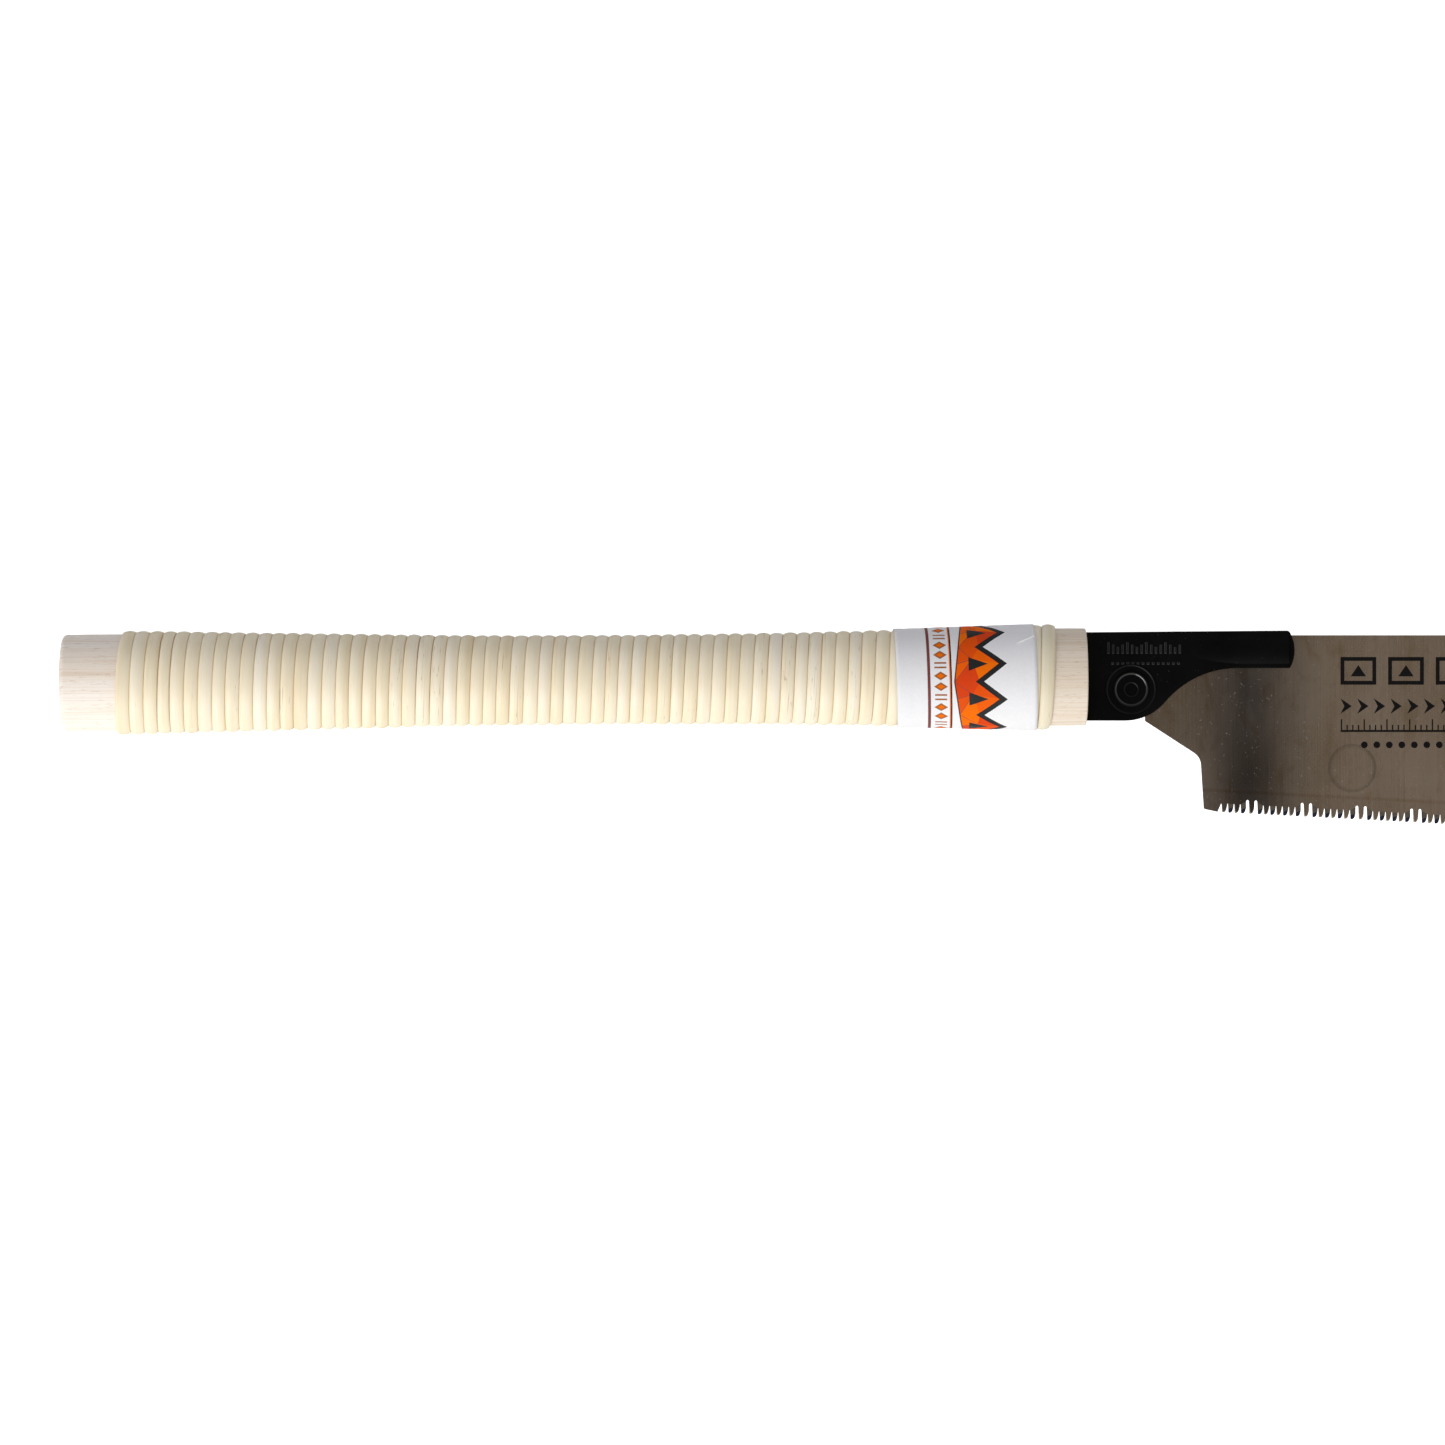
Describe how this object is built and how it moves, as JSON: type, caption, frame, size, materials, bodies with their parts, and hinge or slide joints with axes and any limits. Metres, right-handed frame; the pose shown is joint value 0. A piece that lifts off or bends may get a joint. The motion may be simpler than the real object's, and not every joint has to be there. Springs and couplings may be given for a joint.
{
  "type": "hand saw",
  "caption": "Japanese pull saw: waisted oval wooden handle bound with rattan, paper label, black folded steel blade holder with a rivet, and a hooked replaceable blade with grouped teeth.",
  "frame": {"origin": "bottom centre of the saw's box, with the saw lying flat on its side", "axes": "+X from the butt of the handle to the toe of the blade, +Y from the teeth to the spine, +Z the thickness, up from the surface it lies on"},
  "size_m": [0.6522, 0.079, 0.028],
  "materials": {
    "pale_wood": "bare, sanded",
    "rattan": "natural split cane with a dull shine",
    "label_paper": "smooth printed paper",
    "black_steel": "semi-gloss black",
    "plain_steel": "plain",
    "blade_steel": "rolled spring steel"
  },
  "bodies": {
    "handle": {"handle_upper_half": "pale_wood", "handle_lower_half": "pale_wood", "rattan_wrap": "rattan", "label_band": "label_paper", "blade_holder": "black_steel", "tang_spacer": "plain_steel", "tang_pins": "plain_steel", "hook_rivet": "black_steel"},
    "saw_blade": {"blade": "blade_steel"}
  },
  "joints": [
    {"name": "blade_swing", "type": "hinge", "parent": "handle", "child": "saw_blade", "pos_m": [0.03247, 0.0173, 0.01399], "axis": [0, 0, -1], "range_deg": [0, 20]}
  ]
}
